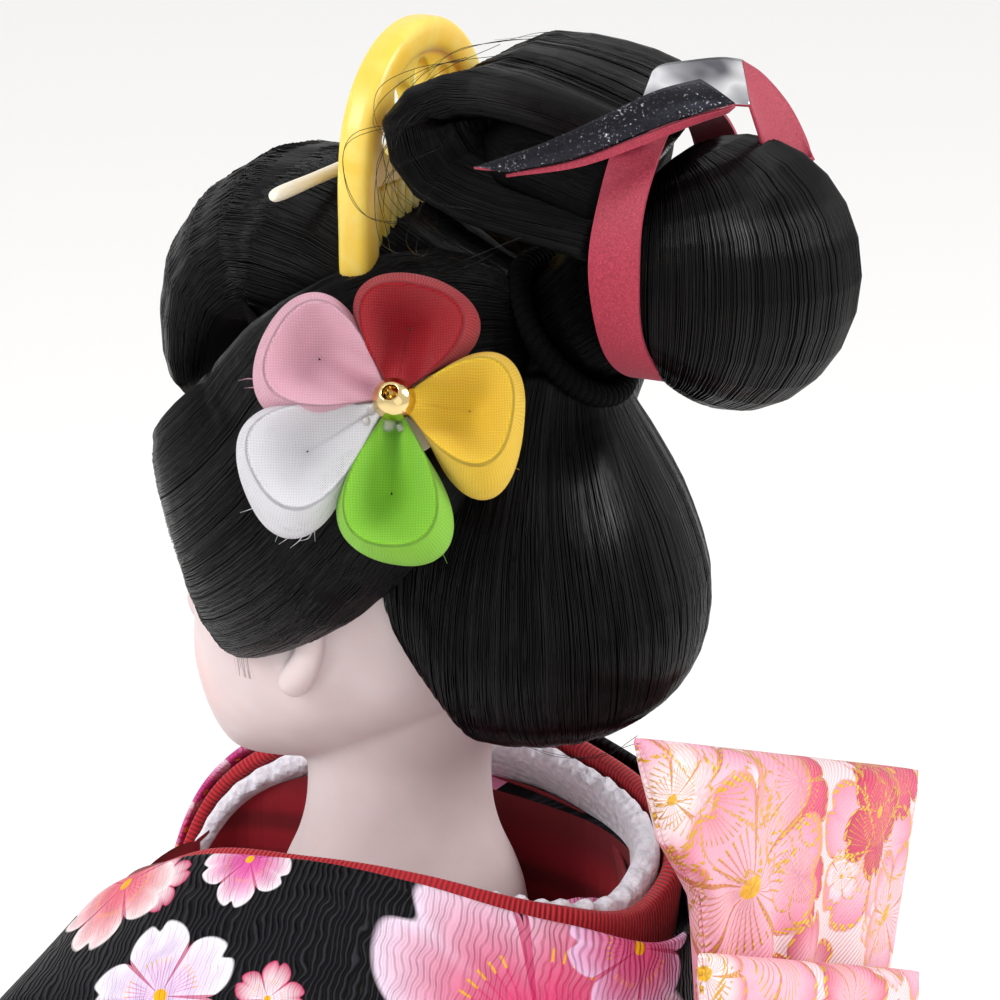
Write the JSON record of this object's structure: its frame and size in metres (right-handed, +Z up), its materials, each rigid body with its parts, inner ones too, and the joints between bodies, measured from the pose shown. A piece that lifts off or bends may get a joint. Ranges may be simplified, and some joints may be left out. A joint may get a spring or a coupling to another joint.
{
  "type": "japanese doll",
  "caption": "Standing doll in a printed kimono with dressed hair, comb, hair flower and tall obi bow on a lacquered board; the head turns and the hair ornaments pull out.",
  "frame": {"origin": "on the surface that the stand rests on, under the middle of the board", "axes": "+Z up, the doll faces -Y, its left hand is on +X"},
  "size_m": [0.2, 0.164, 0.3799],
  "materials": {
    "lacquer": "black gloss lacquer",
    "felt": "pressed felt",
    "steel_wire": "drawn wire",
    "sock_cotton": "plain white cotton",
    "bound_straw": "bound straw and wood wool",
    "gofun": "shell-white over moulded wood paste",
    "deep_red_silk": "plain silk",
    "printed_crepe": "black crepe printed with cherry blossom",
    "white_crepe": "white crepe",
    "red_silk": "ribbed red silk",
    "braided_cord": "braided silk cord",
    "brocade": "brocade with gold thread",
    "peg_wood": "bare wood",
    "tie_cord": "twisted cord",
    "rod_bone": "ivory-coloured resin",
    "comb_celluloid": "translucent amber celluloid",
    "red_paper": "crimson paper",
    "silver_paper": "silver foil paper with a red back",
    "petal_green_cloth": "folded crepe",
    "petal_white_cloth": "folded crepe",
    "petal_pink_cloth": "folded crepe",
    "petal_red_cloth": "folded crepe",
    "petal_yellow_cloth": "folded crepe",
    "gold_bead": "polished gold colour",
    "backing_card": "plain card",
    "dressed_hair": "combed glossy black fibre"
  },
  "bodies": {
    "figure": {"base_board": "lacquer", "felt_pad_1": "felt", "felt_pad_2": "felt", "felt_pad_3": "felt", "felt_pad_4": "felt", "leg_wire_left": "steel_wire", "sock_left": "sock_cotton", "leg_left": "bound_straw", "arm_core_left": "bound_straw", "hand_left": "gofun", "sleeve_left": "printed_crepe", "under_sleeve_left": "deep_red_silk", "leg_wire_right": "steel_wire", "sock_right": "sock_cotton", "leg_right": "bound_straw", "arm_core_right": "bound_straw", "hand_right": "gofun", "sleeve_right": "printed_crepe", "under_sleeve_right": "deep_red_silk", "body_core": "bound_straw", "under_collar": "deep_red_silk", "white_collar": "white_crepe", "red_collar": "red_silk", "kimono_collar": "printed_crepe", "kimono_bodice": "printed_crepe", "kimono_skirt": "printed_crepe", "hem_padding": "red_silk", "obi_band": "brocade", "obi_scarf": "red_silk", "obi_cord": "braided_cord", "obi_wing_upper": "brocade", "obi_wing_lower": "brocade", "obi_knot": "brocade"},
    "head": {"head": "gofun", "neck_peg": "peg_wood", "front_hair": "dressed_hair", "side_hair_left": "dressed_hair", "side_hair_right": "dressed_hair", "back_hair": "dressed_hair", "topknot_stem": "dressed_hair", "topknot_loop": "dressed_hair", "topknot_lobe": "dressed_hair", "hair_tie": "tie_cord", "paper_band": "red_paper", "paper_bow": "silver_paper"},
    "comb": {"comb": "comb_celluloid"},
    "hairpin": {"hair_rod": "rod_bone"},
    "flower": {"petal_green": "petal_green_cloth", "petal_white": "petal_white_cloth", "petal_pink": "petal_pink_cloth", "petal_red": "petal_red_cloth", "petal_yellow": "petal_yellow_cloth", "flower_bead": "gold_bead", "flower_backing": "backing_card", "flower_pin": "steel_wire"}
  },
  "joints": [
    {"name": "head_turn", "type": "hinge", "parent": "figure", "child": "head", "pos_m": [0, 0, 0.29], "axis": [0, 0, 1], "range_deg": [-30, 30]},
    {"name": "comb_pull", "type": "slide", "parent": "head", "child": "comb", "axis": [0, 0, 1], "range_m": [0, 0.014]},
    {"name": "hairpin_pull", "type": "slide", "parent": "head", "child": "hairpin", "axis": [1, 0, 0], "range_m": [0, 0.034]},
    {"name": "flower_pull", "type": "slide", "parent": "head", "child": "flower", "axis": [0.8403, 0.4301, 0.3301], "range_m": [0, 0.012]}
  ]
}
